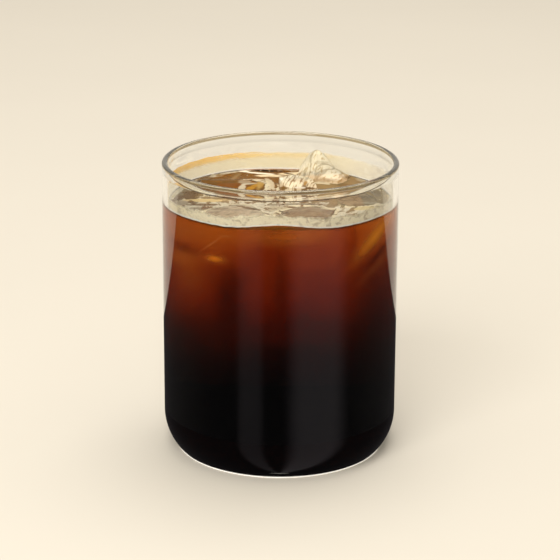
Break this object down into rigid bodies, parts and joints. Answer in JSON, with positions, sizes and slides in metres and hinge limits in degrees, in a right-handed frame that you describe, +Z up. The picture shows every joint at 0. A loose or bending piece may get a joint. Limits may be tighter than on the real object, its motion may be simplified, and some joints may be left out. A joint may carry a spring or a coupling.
{
  "type": "cup of iced americano",
  "caption": "Clear straight-sided glass tumbler of iced black coffee, with melted ice floating at the top and a thin pale foam ring left on the inner wall.",
  "frame": {"origin": "centre of the glass's foot, on the plane the foot ring stands on", "axes": "+Z up along the glass's axis; -Y is the front, where the taller piece of ice is at the back right"},
  "size_m": [0.08, 0.08, 0.101],
  "materials": {
    "glass": "clear, smooth, fire-polished rim",
    "coffee": "clear dark liquid, glossy",
    "ice": "clear melted ice, wet",
    "foam": "fine pale coffee foam, matt"
  },
  "bodies": {
    "root": {"glass": "glass", "coffee": "coffee", "foam_ring": "foam", "ice_left": "ice", "ice_centre": "ice", "ice_back": "ice", "ice_right": "ice", "ice_front_left": "ice", "ice_front_right": "ice"}
  },
  "joints": []
}
